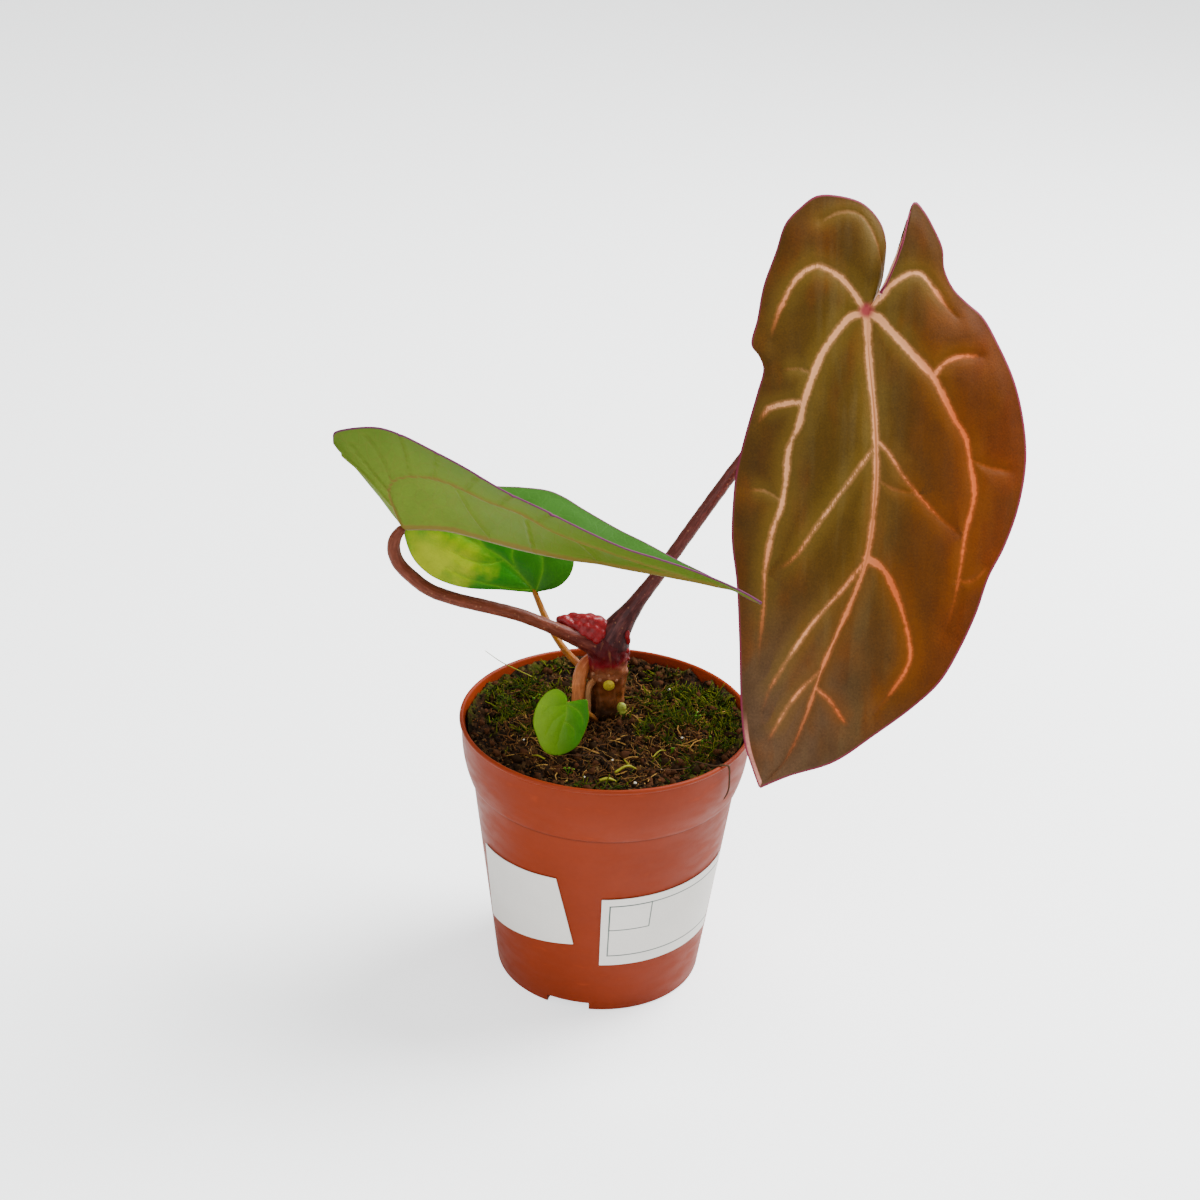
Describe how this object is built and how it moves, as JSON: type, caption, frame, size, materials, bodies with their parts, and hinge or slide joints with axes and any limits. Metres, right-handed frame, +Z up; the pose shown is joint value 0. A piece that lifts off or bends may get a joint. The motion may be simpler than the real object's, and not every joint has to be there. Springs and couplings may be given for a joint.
{
  "type": "potted aroid plant",
  "caption": "Potted anthurium hybrid: short stem in a tapered nursery pot, a large hanging heart-shaped leaf, a folded leaf and small young leaves on round petioles.",
  "frame": {"origin": "middle of the pot's flat base, on the table", "axes": "+Z up, -Y towards the viewer, +X towards the large hanging leaf"},
  "size_m": [0.2701, 0.1332, 0.3175],
  "materials": {
    "pot": "satin terracotta-coloured moulded plastic",
    "soil": "rough, crumbly dark potting mix",
    "label": "matte white paper",
    "stem": "ribbed brown and crimson plant tissue",
    "root": "matte orange-brown aerial root",
    "root_initials": "semi-gloss red bumps",
    "bud": "pale smooth bud",
    "scar": "dry pale scar",
    "large_petiole": "satin dark maroon",
    "folded_petiole": "satin brown-maroon",
    "young_petiole": "satin yellow-brown",
    "leaf_large": "velvety bronze with pink veins",
    "leaf_folded": "matte sage green underside with a purple edge",
    "young_leaf": "soft bright green"
  },
  "bodies": {
    "root": {"pot": "pot", "soil": "soil", "label_left": "label", "label_right": "label", "stem": "stem", "roots": "root", "side_root": "root", "thin_root": "root", "root_initials": "root_initials", "bud": "bud", "petiole_scar": "scar", "large_petiole": "large_petiole", "folded_petiole": "folded_petiole", "back_petiole": "young_petiole", "small_petiole": "young_petiole", "leaf_large": "leaf_large", "leaf_folded": "leaf_folded", "leaf_back": "young_leaf", "leaf_small": "young_leaf"}
  },
  "joints": []
}
